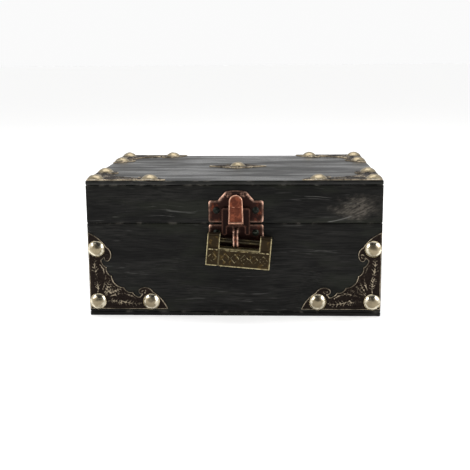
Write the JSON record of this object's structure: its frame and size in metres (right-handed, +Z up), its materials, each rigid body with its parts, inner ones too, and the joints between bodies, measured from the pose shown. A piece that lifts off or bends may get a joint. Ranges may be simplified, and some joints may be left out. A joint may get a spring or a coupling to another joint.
{
  "type": "treasure chest box",
  "caption": "Small dark-stained wooden treasure chest with a hinged lid, pressed metal corners, dome nails, a swinging hasp and a sliding bar padlock.",
  "frame": {"origin": "middle of the underside", "axes": "+X to the right seen from the front, +Y to the back where the hinges are, +Z up; the hasp and padlock are on the -Y side"},
  "size_m": [0.2, 0.1719, 0.0976],
  "materials": {
    "black_wood": "black-stained wood with open grain, satin",
    "antique_copper": "red antique copper plating, worn bright at the edges",
    "lock_bronze": "olive antique bronze, worn bright at the edges",
    "pressed_bronze": "dark bronze pressed sheet with bright raised lines",
    "hinge_bronze": "antique bronze, satin",
    "nail_brass": "pale aged brass, polished domes",
    "dark_screw_steel": "blackened steel",
    "spring_steel": "bright spring steel"
  },
  "bodies": {
    "base": {"base_back_board": "black_wood", "base_bottom_panel": "black_wood", "base_front_board": "black_wood", "base_left_board": "black_wood", "base_left_corner_nails": "nail_brass", "base_left_corner_plate": "pressed_bronze", "base_right_board": "black_wood", "base_right_corner_nails": "nail_brass", "base_right_corner_plate": "pressed_bronze", "hasp_lower_plate": "antique_copper", "hasp_lower_screws": "dark_screw_steel", "hasp_staple": "antique_copper", "left_hinge_base_leaf": "hinge_bronze", "left_hinge_base_screws": "dark_screw_steel", "left_hinge_pin": "hinge_bronze", "right_hinge_base_leaf": "hinge_bronze", "right_hinge_base_screws": "dark_screw_steel", "right_hinge_pin": "hinge_bronze"},
    "lid": {"hasp_pin": "antique_copper", "hasp_upper_plate": "antique_copper", "hasp_upper_screws": "dark_screw_steel", "left_hinge_lid_leaf": "hinge_bronze", "left_hinge_lid_screws": "dark_screw_steel", "lid_back_board": "black_wood", "lid_back_left_corner_nails": "nail_brass", "lid_back_left_corner_plate": "pressed_bronze", "lid_back_right_corner_nails": "nail_brass", "lid_back_right_corner_plate": "pressed_bronze", "lid_front_board": "black_wood", "lid_front_left_corner_nails": "nail_brass", "lid_front_left_corner_plate": "pressed_bronze", "lid_front_right_corner_nails": "nail_brass", "lid_front_right_corner_plate": "pressed_bronze", "lid_left_board": "black_wood", "lid_ornament": "pressed_bronze", "lid_ornament_nail": "nail_brass", "lid_right_board": "black_wood", "lid_top_panel": "black_wood", "right_hinge_lid_leaf": "hinge_bronze", "right_hinge_lid_screws": "dark_screw_steel"},
    "hasp": {"hasp_leaf": "antique_copper", "hasp_tab": "antique_copper", "hasp_tab_rivets": "antique_copper"},
    "padlock": {"padlock_body": "lock_bronze"},
    "shackle": {"padlock_bar": "lock_bronze", "padlock_bolt": "lock_bronze", "padlock_end_piece": "lock_bronze", "padlock_springs": "spring_steel"}
  },
  "joints": [
    {"name": "lid_open", "type": "hinge", "parent": "base", "child": "lid", "pos_m": [0, 0.0801, 0.065], "axis": [-1, 0, 0], "range_deg": [0, 175]},
    {"name": "hasp_swing", "type": "hinge", "parent": "lid", "child": "hasp", "pos_m": [0.0016, -0.0808, 0.0848], "axis": [-1, 0, 0], "range_deg": [0, 115]},
    {"name": "padlock_swing", "type": "hinge", "parent": "base", "child": "padlock", "pos_m": [0.0016, -0.0856, 0.05415], "axis": [-0.9962, 0, 0.0872], "range_deg": [0, 75]},
    {"name": "shackle_slide", "type": "slide", "parent": "padlock", "child": "shackle", "axis": [-0.9962, 0, 0.0872], "range_m": [0, 0.024], "deforming": ["padlock_springs"]}
  ]
}
